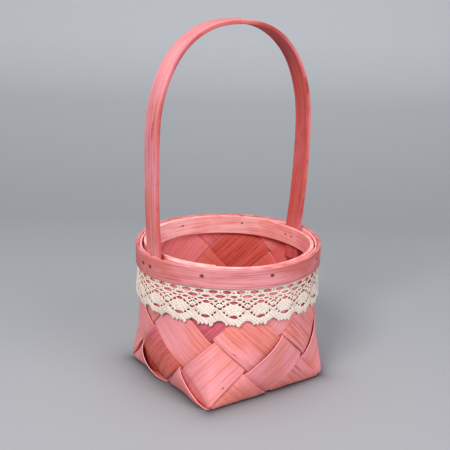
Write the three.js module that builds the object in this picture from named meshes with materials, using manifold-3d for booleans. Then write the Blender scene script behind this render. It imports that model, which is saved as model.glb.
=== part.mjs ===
// Flower girl basket.
// Eight thin wooden splints are plaited on the bias: four run one way across the square base and four
// the other, and both ends of each splint turn up diagonally and spiral up the wall. The wall starts
// square at the base and is round at the rim. A flat outer hoop and a flat inner hoop clamp the splint
// ends and the legs of a bent wooden handle, and ten fine nails are driven through them. A band of lace
// with scallops hangs under the outer hoop.
// Units are millimetres and +Z is up. The origin is on the floor under the middle of the base. The
// handle's bow lies in the XZ plane and the sides of the base are square to X and Y.

import * as THREE from 'three';
import { mergeVertices } from 'three/addons/utils/BufferGeometryUtils.js';
import Module from 'manifold-3d';

// Splints
const SPLINTS_EACH_WAY = 4;
const SPLINT_THICKNESS = 0.9;
const SPLINT_FILL = 0.94;             // splint width as a share of the lattice pitch
const SPLINT_ACROSS = 3;              // facets across a splint, and along each crossing
const LAYER_GAP = 0.3;                // clear space between touching pieces

// Wall
const SQUARE_RATIO = 0.795;           // half side of the square section over the radius of the round one
const RIM_WALL_RADIUS = 68.6;         // middle of the two splint layers at the rim
const BASE_EXTRA_RADIUS = 0.4;
const BELLY = 16;                     // how much the wall swells just above the base
const BELLY_DECAY = 3.3;
const ROUNDING_LINEAR = 1.17;         // how fast the section turns from square to round
const ROUNDING_SQUARE = 1.64;
const ROW_RISE = 52;                  // height of one lattice row at the base
const ROW_RISE_GROWTH = 1.3;
const WALL_ROWS = 2;                  // lattice rows from the base edge to the splint ends
const FOLD_RADIUS = 2;                // rounding of the edge of the base

// Hoops
const RIM_TOP = 110.8;
const HOOP_HEIGHT = 15;
const HOOP_THICKNESS = 2.4;
const OUTER_HOOP_RADIUS = 72.5;
const INNER_HOOP_RADIUS = 66.7;       // outer face of the inner hoop
const INNER_HOOP_DROP = 0.3;          // the inner hoop sits a little below the top of the outer one
const HOOP_STEP = 5;                  // degrees for each facet
const LEG_BULGE = 2.5;                // how far a handle leg pushes the wall and outer hoop out
const LEG_BOW = 1.75;                 // how far a handle leg pushes the inner hoop in
const LEG_REACH = 24;                 // degrees on each side of a leg where the push fades
const BULGE_LOW_ROW = 1;              // lattice row where a leg starts to push the wall out
const BULGE_HIGH_ROW = 1.45;          // lattice row where it pushes it all the way
const SCARF_START = 100;              // angle where the thinned ends of the outer hoop start to lap
const SCARF_LENGTH = 30;              // degrees of the lap
const SCARF_THIN = 0.5;               // thickness of an end at its tip
const SCARF_THICK = 1.6;              // thickness of an end where the lap stops
const INNER_HOOP_START = -135;        // angle of the inner hoop's visible end
const INNER_HOOP_TURN = 395;          // degrees that the inner hoop runs
const INNER_HOOP_LAP = 355;           // travel after which it lies behind its own first layer
const LAP_STEP = 2.7;                 // how far in the second layer of the inner hoop lies
const LAP_FADE = 12;                  // degrees beyond the left leg where that layer eases out

// Handle
const HANDLE_TOP = 280.8;
const HANDLE_WIDTH = 16;
const HANDLE_THICKNESS = 3.5;
const HANDLE_EDGE = 0.8;              // bevel of the handle's outer edges
const HANDLE_FOOT = 82;               // lower ends of the legs, inside the wall
const LEG_FACE_AT_RIM = 68.8;         // outer face of a leg where the hoops clamp it
const LEG_FLARE_TOP = 135;            // height where the legs reach their full spread
const BOW_HALF_SPAN = 73;
const BOW_CENTRE = 190;               // height where the legs turn into the bow
const BOW_POWER = 2.31;               // 2 is an ellipse, a little more is fuller in the shoulders
const BOW_STEPS = 22;                 // facets from a leg to the top of the bow
const LEG_STEPS = 5;                  // facets of the part of a leg that flares out

// Nails
const NAIL_RADIUS = 0.5;
const NAIL_HEAD_RADIUS = 1.1;
const NAIL_HEAD_THICKNESS = 0.4;
const NAIL_SIDES = 8;
const NAIL_TIP = 0.1;                 // how far a tip stands out inside the inner hoop
const NAIL_SINK = 0.1;                // how far a head is driven into the outer hoop
const NAIL_CLEARANCE = 4;             // end clearance of a nail hole, in layer gaps
const RIM_NAIL_HEIGHT = 105;
const RIM_NAIL_ANGLES = [-141.5, -100, -57.5, 43.5, 91, 140];
const HANDLE_NAIL_HEIGHT = 103.5;
const HANDLE_NAIL_SPREAD = 3.4;       // degrees on each side of the middle of a leg

// Lace
const LACE_SCALLOPS = 22;
const LACE_THICKNESS = 1;
const LACE_TOP = 95.5;
const LACE_MIDDLE = 80;               // height where the band starts to lean in to the hoop
const LACE_VALLEY = 70.5;             // height of the notches between two scallops
const LACE_SCALLOP_DEPTH = 3;
const LACE_FLARE = 1;                 // how far the free edge stands off the wall
const LACE_STEPS = 4;                 // facets for each scallop

const DEGREE = Math.PI / 180;
const wasm = await Module();
wasm.setup();

const woodPink = new THREE.MeshStandardMaterial({ color: 0xd98480, roughness: 0.7, metalness: 0 });
const hoopPink = new THREE.MeshStandardMaterial({ color: 0xdb7f80, roughness: 0.65, metalness: 0 });
const laceCream = new THREE.MeshStandardMaterial({ color: 0xefe6d6, roughness: 0.95, metalness: 0 });
const nailSteel = new THREE.MeshStandardMaterial({ color: 0x7a4a40, roughness: 0.45, metalness: 0.8 });

const group = new THREE.Group();

function smoothRamp(value, low, high) {
  const t = Math.min(Math.max((value - low) / (high - low), 0), 1);
  return t * t * (3 - 2 * t);
}

function linearRamp(value, low, high) {
  return Math.min(Math.max((value - low) / (high - low), 0), 1);
}

// 1 beside a handle leg and 0 away from both legs
function legShare(degrees) {
  const away = Math.abs(((degrees % 180) + 270) % 180 - 90);
  return Math.exp(-((away / LEG_REACH) ** 2));
}

// ---- closed solids ----

function solidVolume(points, faces) {
  let volume = 0;
  for (const [a, b, c] of faces) {
    volume += points[a].dot(points[b].clone().cross(points[c])) / 6;
  }
  return volume;
}

function closedGeometry(points, faces) {
  const outward = solidVolume(points, faces) > 0;
  const index = [];
  for (const [a, b, c] of faces) {
    index.push(a, outward ? b : c, outward ? c : b);
  }
  const geometry = new THREE.BufferGeometry();
  geometry.setAttribute('position', new THREE.Float32BufferAttribute(points.flatMap((p) => p.toArray()), 3));
  geometry.setIndex(index);
  return geometry;
}

// A solid through sections of the same convex outline, as a loop or with two flat ends.
function loftGeometry(sections, isLoop) {
  const size = sections[0].length;
  const points = sections.flat();
  const faces = [];
  const spans = isLoop ? sections.length : sections.length - 1;
  for (let s = 0; s < spans; s += 1) {
    const here = s * size;
    const next = ((s + 1) % sections.length) * size;
    for (let k = 0; k < size; k += 1) {
      const l = (k + 1) % size;
      faces.push([here + k, here + l, next + l]);
      faces.push([here + k, next + l, next + k]);
    }
  }
  if (!isLoop) {
    const last = (sections.length - 1) * size;
    for (let k = 1; k < size - 1; k += 1) {
      faces.push([0, k + 1, k]);
      faces.push([last, last + k, last + k + 1]);
    }
  }
  return closedGeometry(points, faces);
}

function toSolid(geometry) {
  const bare = geometry.clone();
  bare.deleteAttribute('normal');
  bare.deleteAttribute('uv');
  const merged = mergeVertices(bare, 1e-4);
  const triangles = [];
  for (let k = 0; k < merged.index.count; k += 3) {
    const corner = [merged.index.getX(k), merged.index.getX(k + 1), merged.index.getX(k + 2)];
    if (new Set(corner).size === 3) {
      triangles.push(...corner);
    }
  }
  const mesh = new wasm.Mesh({
    numProp: 3,
    vertProperties: new Float32Array(merged.attributes.position.array),
    triVerts: new Uint32Array(triangles),
  });
  return new wasm.Manifold(mesh);
}

function fromSolid(solid) {
  const mesh = solid.getMesh();
  const geometry = new THREE.BufferGeometry();
  geometry.setAttribute('position', new THREE.BufferAttribute(new Float32Array(mesh.vertProperties), 3));
  geometry.setIndex(new THREE.BufferAttribute(new Uint32Array(mesh.triVerts), 1));
  return geometry;
}

// ---- the plaited surface ----
// The flat mat is laid out in lattice units, one unit for each splint, with its middle at (0, 0). A point
// (x, y) of the mat belongs to the side of the base that its quadrant faces. Beyond the edge of the base
// the mat turns up into the wall, where u runs round the basket, two units for each side of the base,
// and v runs up it in rows.

function sideOfMat(x, y) {
  if (y < 0) {
    return x < 0 ? 0 : 1;
  }
  return x < 0 ? 3 : 2;
}

function wallCoordinates(side, x, y) {
  const east = (x + y) / 2;
  const north = (y - x) / 2;
  const along = [-north, east, north, -east][side];
  const out = [-east, -north, east, north][side];
  return { u: 2 * side + 1 + along, v: out - 1 };
}

function wallRadius(v) {
  return RIM_WALL_RADIUS + (BASE_EXTRA_RADIUS + BELLY * v) * Math.exp(-BELLY_DECAY * v);
}

const baseHalfSide = SQUARE_RATIO * wallRadius(0);
const splintOffset = (SPLINT_THICKNESS + LAYER_GAP) / 2;
const baseLevel = splintOffset + SPLINT_THICKNESS / 2;

function wallAngle(u) {
  return (u - 5) * 45;
}

function surfacePoint(side, u, v) {
  const reach = v * baseHalfSide;
  const lift = reach > FOLD_RADIUS ? reach : (reach + FOLD_RADIUS) ** 2 / (4 * FOLD_RADIUS);
  const height = reach < -FOLD_RADIUS ? 0 : lift * (ROW_RISE + ROW_RISE_GROWTH * Math.max(v, 0)) / baseHalfSide;
  const nearSide = v < 0 ? side : Math.floor(u / 2);
  const across = u - 2 * nearSide - 1;
  const normal = new THREE.Vector2(-1, 0).rotateAround(new THREE.Vector2(), nearSide * Math.PI / 2);
  const tangent = new THREE.Vector2(-normal.y, normal.x);
  if (v < 0) {
    const inset = reach < -FOLD_RADIUS ? -reach : (FOLD_RADIUS - reach) ** 2 / (4 * FOLD_RADIUS);
    const edgeShare = linearRamp(reach, -FOLD_RADIUS, 0) ** 2;
    const width = baseHalfSide - edgeShare * FOLD_RADIUS / 4;
    const flat = normal.multiplyScalar(baseHalfSide - inset).add(tangent.multiplyScalar(width * across));
    return new THREE.Vector3(flat.x, flat.y, baseLevel + height);
  }
  const inset = reach > FOLD_RADIUS ? 0 : (FOLD_RADIUS - reach) ** 2 / (4 * FOLD_RADIUS);
  const shrink = 1 - inset / baseHalfSide;
  const rounding = 1 - Math.exp(-ROUNDING_LINEAR * v - ROUNDING_SQUARE * v * v);
  const angle = wallAngle(u);
  const bulge = LEG_BULGE * legShare(angle) * smoothRamp(v, BULGE_LOW_ROW, BULGE_HIGH_ROW);
  const radius = wallRadius(v) + bulge;
  const square = normal.add(tangent.multiplyScalar(across)).multiplyScalar(SQUARE_RATIO * radius * shrink);
  const round = new THREE.Vector2(Math.cos(angle * DEGREE), Math.sin(angle * DEGREE));
  round.multiplyScalar(radius * shrink);
  const plan = square.lerp(round, rounding);
  return new THREE.Vector3(plan.x, plan.y, baseLevel + height);
}

function surfaceNormal(side, u, v) {
  const step = 0.01;
  const round = surfacePoint(side, u + step, v).sub(surfacePoint(side, u - step, v));
  const up = surfacePoint(side, u, v + step).sub(surfacePoint(side, u, v - step));
  return round.cross(up).normalize();
}

function matPoint(x, y, offset) {
  const side = sideOfMat(x, y);
  const { u, v } = wallCoordinates(side, x, y);
  return surfacePoint(side, u, v).addScaledVector(surfaceNormal(side, u, v), offset);
}

function matRow(x, y) {
  return (Math.abs(x) + Math.abs(y)) / 2 - 1;
}

// One splint: runsAlongY says which way it crosses the mat, and number counts from 0.
function splintGeometry(runsAlongY, number) {
  const half = SPLINTS_EACH_WAY / 2;
  const middle = number + 0.5 - half;
  const stops = [];
  for (let k = 0; k <= SPLINT_ACROSS; k += 1) {
    stops.push(SPLINT_FILL * (k / SPLINT_ACROSS - 0.5));
  }
  const reach = Math.ceil(2 * (WALL_ROWS + 1) - Math.abs(middle) + 0.5);
  const along = [];
  for (let crossing = -reach; crossing < reach; crossing += 1) {
    const isOutside = ((number + crossing + half) % 2 === 0) === runsAlongY;
    for (const stop of stops) {
      along.push({ place: crossing + 0.5 + stop, level: isOutside ? splintOffset : -splintOffset });
    }
  }
  const mat = [];
  const level = [];
  for (const step of along) {
    for (const stop of stops) {
      mat.push(runsAlongY ? [middle + stop, step.place] : [step.place, middle + stop]);
      level.push(step.level);
    }
  }
  const faces = [];
  const addFace = (a, b, c) => {
    const rows = [a, b, c].map((k) => matRow(...mat[k]));
    if (rows[0] + rows[1] + rows[2] < 3 * WALL_ROWS - 1e-6) {
      faces.push([a, b, c]);
    }
  };
  const wide = stops.length;
  for (let s = 0; s < along.length - 1; s += 1) {
    for (let k = 0; k < SPLINT_ACROSS; k += 1) {
      const a = s * wide + k;
      const b = a + 1;
      const c = a + wide + 1;
      const d = a + wide;
      const centreX = (mat[a][0] + mat[c][0]) / 2;
      const centreY = (mat[a][1] + mat[c][1]) / 2;
      if (centreX * centreY > 0) {
        addFace(a, b, d);
        addFace(b, c, d);
      } else {
        addFace(a, b, c);
        addFace(a, c, d);
      }
    }
  }
  return slabGeometry(mat, level, faces, SPLINT_THICKNESS);
}

// A slab of even thickness over triangles of the mat.
function slabGeometry(mat, level, faces, thickness) {
  const used = [...new Set(faces.flat())];
  const place = new Map(used.map((k, n) => [k, n]));
  const outer = used.map((k) => matPoint(...mat[k], level[k] + thickness / 2));
  const inner = used.map((k) => matPoint(...mat[k], level[k] - thickness / 2));
  const points = [...outer, ...inner];
  const shift = used.length;
  const edges = new Map();
  const solid = [];
  for (const face of faces) {
    const [a, b, c] = face.map((k) => place.get(k));
    solid.push([a, b, c]);
    solid.push([a + shift, c + shift, b + shift]);
    for (const [p, q] of [[a, b], [b, c], [c, a]]) {
      if (edges.has(`${q} ${p}`)) {
        edges.delete(`${q} ${p}`);
      } else {
        edges.set(`${p} ${q}`, [p, q]);
      }
    }
  }
  for (const [p, q] of edges.values()) {
    solid.push([q, p, p + shift]);
    solid.push([q, p + shift, q + shift]);
  }
  return closedGeometry(points, solid);
}

// ---- hoops ----

function hoopSection(degrees, innerRadius, outerRadius, low, high) {
  const direction = new THREE.Vector3(Math.cos(degrees * DEGREE), Math.sin(degrees * DEGREE), 0);
  const corner = (radius, z) => direction.clone().multiplyScalar(radius).setZ(z);
  return [
    corner(innerRadius, low),
    corner(outerRadius, low),
    corner(outerRadius, high),
    corner(innerRadius, high),
  ];
}

// The outer hoop's ends are thinned and lapped at the back of the basket.
function outerHoopGeometry() {
  const sections = [];
  const inside = OUTER_HOOP_RADIUS - HOOP_THICKNESS;
  const end = SCARF_START + 360 + SCARF_LENGTH;
  for (let angle = SCARF_START; angle <= end; angle += HOOP_STEP) {
    const bulge = LEG_BULGE * legShare(angle);
    const rise = (SCARF_THICK - SCARF_THIN) * ((angle - SCARF_START) % 360) / SCARF_LENGTH;
    let low = inside;
    let high = OUTER_HOOP_RADIUS;
    if (angle <= SCARF_START + SCARF_LENGTH) {
      high = inside + SCARF_THIN + rise;
    }
    if (angle >= SCARF_START + 360) {
      low = inside + SCARF_THIN + rise + LAYER_GAP;
    }
    sections.push(hoopSection(angle, low + bulge, high + bulge, RIM_TOP - HOOP_HEIGHT, RIM_TOP));
  }
  return loftGeometry(sections, false);
}

// The inner hoop starts at its visible end, runs as a second layer back to the left leg, goes once
// round the basket inside both legs and ends beside the left leg, behind its own first layer.
function innerHoopBow(travel) {
  const angle = INNER_HOOP_START - travel;
  if (travel >= INNER_HOOP_LAP) {
    return 0;
  }
  const lap = LAP_STEP * (1 - smoothRamp(-angle, 180, 180 + LAP_FADE));
  return Math.max(lap, LEG_BOW * legShare(angle));
}

function innerHoopInside(degrees) {
  const travel = (((INNER_HOOP_START - degrees) % 360) + 360) % 360;
  return INNER_HOOP_RADIUS - HOOP_THICKNESS - innerHoopBow(travel);
}

function innerHoopGeometry() {
  const sections = [];
  const high = RIM_TOP - INNER_HOOP_DROP;
  for (let travel = 0; travel <= INNER_HOOP_TURN; travel += HOOP_STEP) {
    const outside = INNER_HOOP_RADIUS - innerHoopBow(travel);
    const angle = INNER_HOOP_START - travel;
    sections.push(hoopSection(angle, outside - HOOP_THICKNESS, outside, high - HOOP_HEIGHT, high));
  }
  return loftGeometry(sections, false);
}

// ---- handle ----

// Middle line of the outer face, from the left foot over the top to the right foot.
function handleOutline() {
  const leg = [new THREE.Vector2(LEG_FACE_AT_RIM, HANDLE_FOOT)];
  for (let k = 0; k <= LEG_STEPS; k += 1) {
    const share = k / LEG_STEPS;
    const spread = (BOW_HALF_SPAN - LEG_FACE_AT_RIM) * Math.sin(share * Math.PI / 2);
    leg.push(new THREE.Vector2(LEG_FACE_AT_RIM + spread, RIM_TOP + (LEG_FLARE_TOP - RIM_TOP) * share));
  }
  for (let k = 0; k < BOW_STEPS; k += 1) {
    const turn = (k / BOW_STEPS) * Math.PI / 2;
    const x = BOW_HALF_SPAN * Math.cos(turn) ** (2 / BOW_POWER);
    const z = BOW_CENTRE + (HANDLE_TOP - BOW_CENTRE) * Math.sin(turn) ** (2 / BOW_POWER);
    leg.push(new THREE.Vector2(x, z));
  }
  const left = leg.map((p) => new THREE.Vector2(-p.x, p.y));
  return [...left, new THREE.Vector2(0, HANDLE_TOP), ...leg.reverse()];
}

function handleGeometry() {
  const line = handleOutline();
  const half = HANDLE_WIDTH / 2;
  const outline = [
    [-half, -HANDLE_THICKNESS],
    [half, -HANDLE_THICKNESS],
    [half, -HANDLE_EDGE],
    [half - HANDLE_EDGE, 0],
    [-half + HANDLE_EDGE, 0],
    [-half, -HANDLE_EDGE],
  ];
  const sections = line.map((point, k) => {
    const before = line[Math.max(k - 1, 0)];
    const after = line[Math.min(k + 1, line.length - 1)];
    const run = after.clone().sub(before).normalize();
    const isFoot = k === 0 || k === line.length - 1;
    const out = isFoot ? new THREE.Vector2(Math.sign(point.x), 0) : new THREE.Vector2(-run.y, run.x);
    return outline.map(([y, depth]) => new THREE.Vector3(point.x + out.x * depth, y, point.y + out.y * depth));
  });
  return loftGeometry(sections, false);
}

// ---- nails ----

// A nail lies along +Y of its own frame with its head at the top, and extra widens it into its hole.
function nailProfile(length, extra) {
  const tip = -length - NAIL_CLEARANCE * extra;
  const neck = -NAIL_HEAD_THICKNESS - extra;
  const top = NAIL_CLEARANCE * extra;
  return [
    new THREE.Vector2(0, tip),
    new THREE.Vector2(NAIL_RADIUS + extra, tip),
    new THREE.Vector2(NAIL_RADIUS + extra, neck),
    new THREE.Vector2(NAIL_HEAD_RADIUS + extra, neck),
    new THREE.Vector2(NAIL_HEAD_RADIUS + extra, top),
    new THREE.Vector2(0, top),
  ];
}

function nailGeometry(length, extra) {
  return new THREE.LatheGeometry(nailProfile(length, extra), NAIL_SIDES);
}

function placeNail(object, degrees, height) {
  const radius = OUTER_HOOP_RADIUS + LEG_BULGE * legShare(degrees) - NAIL_SINK;
  const pivot = new THREE.Group();
  pivot.rotation.z = degrees * DEGREE;
  object.position.set(radius, 0, height);
  object.rotation.z = -Math.PI / 2;
  pivot.add(object);
  return pivot;
}

function nailLength(degrees) {
  const outside = OUTER_HOOP_RADIUS + LEG_BULGE * legShare(degrees);
  return outside - innerHoopInside(degrees) + NAIL_TIP;
}

const nails = [];
RIM_NAIL_ANGLES.forEach((angle, k) => {
  nails.push({ name: `rim_nail_${k + 1}`, angle, height: RIM_NAIL_HEIGHT });
});
['left', 'right'].forEach((end) => {
  [-1, 1].forEach((turn, k) => {
    const middle = end === 'left' ? 180 : 0;
    const angle = middle + turn * HANDLE_NAIL_SPREAD;
    nails.push({ name: `handle_nail_${end}_${k + 1}`, angle, height: HANDLE_NAIL_HEIGHT });
  });
});

let holes = null;
for (const { angle, height } of nails) {
  const cutter = new THREE.Mesh(nailGeometry(nailLength(angle), LAYER_GAP));
  const pivot = placeNail(cutter, angle, height);
  pivot.updateMatrixWorld(true);
  const solid = toSolid(cutter.geometry.clone().applyMatrix4(cutter.matrixWorld));
  holes = holes ? holes.add(solid) : solid;
}

// ---- lace ----

function laceGeometry() {
  const steps = LACE_SCALLOPS * LACE_STEPS;
  const sections = [];
  for (let k = 0; k < steps; k += 1) {
    const angle = 360 * k / steps;
    const hang = Math.abs(Math.sin(LACE_SCALLOPS * angle * DEGREE / 2));
    const bottom = LACE_VALLEY - LACE_SCALLOP_DEPTH * hang;
    const levels = [bottom, LACE_MIDDLE, LACE_TOP];
    const face = levels.map((z) => {
      const row = (z - baseLevel) / (ROW_RISE + ROW_RISE_GROWTH);
      const bulge = LEG_BULGE * legShare(angle) * smoothRamp(row, BULGE_LOW_ROW, BULGE_HIGH_ROW);
      const flare = LACE_FLARE * (1 - linearRamp(z, LACE_MIDDLE, LACE_TOP));
      return { z, radius: wallRadius(row) + bulge + baseLevel + LAYER_GAP + flare };
    });
    const direction = new THREE.Vector3(Math.cos(angle * DEGREE), Math.sin(angle * DEGREE), 0);
    const inside = face.map(({ z, radius }) => direction.clone().multiplyScalar(radius).setZ(z));
    const outside = face.map(({ z, radius }) => {
      return direction.clone().multiplyScalar(radius + LACE_THICKNESS).setZ(z);
    });
    sections.push([...inside, ...outside.reverse()]);
  }
  return loftGeometry(sections, true);
}

// ---- assembly ----

function addPart(name, geometry, material) {
  const mesh = new THREE.Mesh(geometry, material);
  mesh.name = name;
  group.add(mesh);
}

function drilled(geometry) {
  return fromSolid(toSolid(geometry).subtract(holes));
}

for (let number = 0; number < SPLINTS_EACH_WAY; number += 1) {
  addPart(`splint_a${number + 1}`, drilled(splintGeometry(true, number)), woodPink);
  addPart(`splint_b${number + 1}`, drilled(splintGeometry(false, number)), woodPink);
}
addPart('outer_rim_hoop', drilled(outerHoopGeometry()), hoopPink);
addPart('inner_rim_hoop', drilled(innerHoopGeometry()), hoopPink);
addPart('handle_bow', drilled(handleGeometry()), hoopPink);
addPart('lace_trim', laceGeometry(), laceCream);
for (const { name, angle, height } of nails) {
  const mesh = new THREE.Mesh(nailGeometry(nailLength(angle), 0), nailSteel);
  mesh.name = name;
  group.add(placeNail(mesh, angle, height));
}

export default group;
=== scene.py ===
import math
import random

import bmesh
import bpy
import numpy as np
from mathutils import Matrix, Vector


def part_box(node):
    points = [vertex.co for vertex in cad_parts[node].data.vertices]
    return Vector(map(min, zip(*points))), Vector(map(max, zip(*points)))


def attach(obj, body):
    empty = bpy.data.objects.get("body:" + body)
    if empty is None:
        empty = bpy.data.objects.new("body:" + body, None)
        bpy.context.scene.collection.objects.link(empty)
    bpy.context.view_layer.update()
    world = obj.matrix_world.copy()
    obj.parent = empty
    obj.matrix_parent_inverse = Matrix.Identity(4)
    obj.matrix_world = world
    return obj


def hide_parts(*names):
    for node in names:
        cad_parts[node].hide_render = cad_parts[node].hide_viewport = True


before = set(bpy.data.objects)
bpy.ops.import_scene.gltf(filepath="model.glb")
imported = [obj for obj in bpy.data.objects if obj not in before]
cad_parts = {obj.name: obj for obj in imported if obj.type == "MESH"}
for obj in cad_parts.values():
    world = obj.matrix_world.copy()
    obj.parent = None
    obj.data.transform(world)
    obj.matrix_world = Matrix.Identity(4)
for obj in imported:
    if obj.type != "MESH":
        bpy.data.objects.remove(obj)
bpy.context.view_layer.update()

MM = 0.001

# ---- sizes read from the frame, in millimetres ----


def box_mm(node):
    low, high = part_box(node)
    return np.array(low) / MM, np.array(high) / MM


outer_low, outer_high = box_mm("outer_rim_hoop")
inner_low, inner_high = box_mm("inner_rim_hoop")
handle_low, handle_high = box_mm("handle_bow")
lace_high = box_mm("lace_trim")[1]

RIM_TOP = outer_high[2]
HOOP_BOTTOM = outer_low[2]
OUTER_HOOP_RADIUS = outer_high[1]
LEG_BULGE = outer_high[0] - outer_high[1]
HANDLE_TOP = handle_high[2]
HANDLE_FOOT = handle_low[2]
HANDLE_WIDTH = handle_high[1] - handle_low[1]
BOW_HALF_SPAN = handle_high[0]

# ---- the plaited surface ----
# The CAD part has the same one, but for a wall that stands out less at the left leg.

SPLINTS_EACH_WAY = 4
SPLINT_THICKNESS = 0.8
SQUARE_RATIO = 0.795
RIM_WALL_RADIUS = 68.6
BASE_EXTRA_RADIUS = 0.4
BELLY = 16
BELLY_DECAY = 3.3
ROUNDING_LINEAR = 1.17
ROUNDING_SQUARE = 1.64
ROW_RISE = 52
ROW_RISE_GROWTH = 1.3
FOLD_RADIUS = 2
LAYER_OFFSET = 0.6
BASE_LEVEL = 1.05
LEG_REACH = 24  # degrees on each side of a leg where its push fades
LEFT_LEG_EXTRA = 0.8  # how much further the left leg pushes
LEFT_LEG_REACH = 20
BULGE_LOW_ROW = 1  # crossing above the base where a leg starts to push the wall out
BULGE_HIGH_ROW = 1.45  # crossing where it pushes it all the way


def smooth_ramp(value, low, high):
    t = np.clip((value - low) / (high - low), 0, 1)
    return t * t * (3 - 2 * t)


def wrapped(degrees):
    """The same angles, from -180 up to 180."""
    return (degrees + 180) % 360 - 180


def directions(degrees):
    """Unit vectors out from the basket's axis."""
    return np.stack([np.cos(np.radians(degrees)), np.sin(np.radians(degrees))], -1)


def leg_share(degrees):
    away = np.abs((degrees % 180 + 270) % 180 - 90)
    return np.exp(-((away / LEG_REACH) ** 2))


def leg_push(degrees):
    """How far the legs push the wall and the outer hoop out, a little more at the left one."""
    left_away = wrapped(degrees - 180)
    return LEG_BULGE * leg_share(degrees) + LEFT_LEG_EXTRA * np.exp(-((left_away / LEFT_LEG_REACH) ** 2))


def wall_radius(v):
    return RIM_WALL_RADIUS + (BASE_EXTRA_RADIUS + BELLY * v) * np.exp(-BELLY_DECAY * v)


BASE_HALF_SIDE = SQUARE_RATIO * wall_radius(0)
PITCH = BASE_HALF_SIDE / math.sqrt(2)


def side_of_mat(x, y):
    return np.where(y < 0, np.where(x < 0, 0, 1), np.where(x < 0, 3, 2))


def wall_coordinates(side, x, y):
    east = (x + y) / 2
    north = (y - x) / 2
    along = np.choose(side, [-north, east, north, -east])
    out = np.choose(side, [-east, -north, east, north])
    return 2 * side + 1 + along, out - 1


def surface_point(side, u, v):
    """Points of the middle surface, in millimetres, from wall coordinates."""
    reach = v * BASE_HALF_SIDE
    lift = np.where(reach > FOLD_RADIUS, reach, (reach + FOLD_RADIUS) ** 2 / (4 * FOLD_RADIUS))
    lift = np.where(reach < -FOLD_RADIUS, 0, lift)
    height = lift * (ROW_RISE + ROW_RISE_GROWTH * np.maximum(v, 0)) / BASE_HALF_SIDE
    near_side = np.where(v < 0, side, np.floor(u / 2))
    across = u - 2 * near_side - 1
    normal = directions(180 + near_side * 90)
    tangent = np.stack([-normal[..., 1], normal[..., 0]], -1)
    inset = np.where(np.abs(reach) < FOLD_RADIUS, (FOLD_RADIUS - reach) ** 2 / (4 * FOLD_RADIUS), 0)
    under = np.where(reach <= -FOLD_RADIUS, -reach, inset)
    edge_share = np.clip(reach / FOLD_RADIUS + 1, 0, 1) ** 2
    width = BASE_HALF_SIDE - edge_share * FOLD_RADIUS / 4
    base = normal * (BASE_HALF_SIDE - under)[..., None] + tangent * (width * across)[..., None]
    row = np.maximum(v, 0)
    rounding = 1 - np.exp(-ROUNDING_LINEAR * row - ROUNDING_SQUARE * row * row)
    degrees = (u - 5) * 45
    radius = wall_radius(row) + leg_push(degrees) * smooth_ramp(row, BULGE_LOW_ROW, BULGE_HIGH_ROW)
    radius = radius * (1 - inset / BASE_HALF_SIDE)
    square = (normal + tangent * across[..., None]) * (SQUARE_RATIO * radius)[..., None]
    circle = directions(degrees) * radius[..., None]
    wall = square + (circle - square) * rounding[..., None]
    plan = np.where((v < 0)[..., None], base, wall)
    return np.concatenate([plan, (BASE_LEVEL + height)[..., None]], -1)


def surface_normal(side, u, v):
    step = 0.02
    around = surface_point(side, u + step, v) - surface_point(side, u - step, v)
    up = surface_point(side, u, v + step) - surface_point(side, u, v - step)
    normal = np.cross(around, up)
    return normal / np.linalg.norm(normal, axis=-1, keepdims=True)


def mat_row(x, y):
    return (np.abs(x) + np.abs(y)) / 2 - 1


def wobble(position, seed, length, count=4):
    """A smooth seeded waver from about -1 to 1 along a line."""
    dice = random.Random(seed)
    total = np.zeros_like(position, dtype=float)
    for k in range(count):
        wave = length / (1 + 0.7 * k) * dice.uniform(0.8, 1.25)
        total += math.sqrt(1 / count) * np.sin(2 * math.pi * position / wave + dice.uniform(0, 6.283))
    return total


# ---- meshes ----


def new_object(name, points, faces, material):
    mesh = bpy.data.meshes.new(name)
    mesh.from_pydata((np.asarray(points) * MM).tolist(), [], faces)
    mesh.polygons.foreach_set("use_smooth", [True] * len(mesh.polygons))
    mesh.materials.append(material)
    piece = bpy.data.objects.new(name, mesh)
    bpy.context.scene.collection.objects.link(piece)
    return piece


def ring_faces(count, size):
    """Faces that join each of count rings, of size points, to the next one."""
    faces = []
    for s in range(count - 1):
        here = s * size
        there = here + size
        for k in range(size):
            n = (k + 1) % size
            faces.append((here + k, here + n, there + n, there + k))
    return faces


def band_piece(name, rings, grain, shades, material):
    """A band from rings of points. Each ring runs along the outer face and back along the inner one,
    so point k and point -1-k face each other. grain holds the places across and along the wood on one
    face, and shades holds named values for each point."""
    spans, size = rings.shape[:2]
    half = size // 2
    points = rings.reshape(-1, 3)
    faces = ring_faces(spans, size)
    last = (spans - 1) * size
    for k in range(half - 1):
        faces.append((k + 1, k, size - 1 - k, size - 2 - k))
        faces.append((last + k, last + k + 1, last + size - 2 - k, last + size - 1 - k))
    a, b, c = (points[[f[k] for f in faces]] for k in (0, 1, 2))
    if np.einsum("ij,ij->i", a, np.cross(b, c)).sum() < 0:
        faces = [f[::-1] for f in faces]
    piece = new_object(name, points, faces, material)
    mesh = piece.data
    corners = np.zeros(len(mesh.loops), np.int64)
    mesh.loops.foreach_get("vertex_index", corners)
    layer = mesh.uv_layers.new(name="grain")
    places = both_faces(grain, grain).reshape(-1, 2)[corners]
    layer.data.foreach_set("uv", (places * MM).astype(np.float32).ravel())
    for key, values in shades.items():
        attribute = mesh.attributes.new(key, "FLOAT", "POINT")
        attribute.data.foreach_set("value", values.astype(np.float32).ravel())
    piece.modifiers.new("flat faces", "WEIGHTED_NORMAL")
    return piece


def both_faces(outer, inner):
    """Joins values on a band's outer face and on its inner face in the order of band_piece's rings."""
    return np.concatenate([outer, inner[:, ::-1]], 1)


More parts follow.
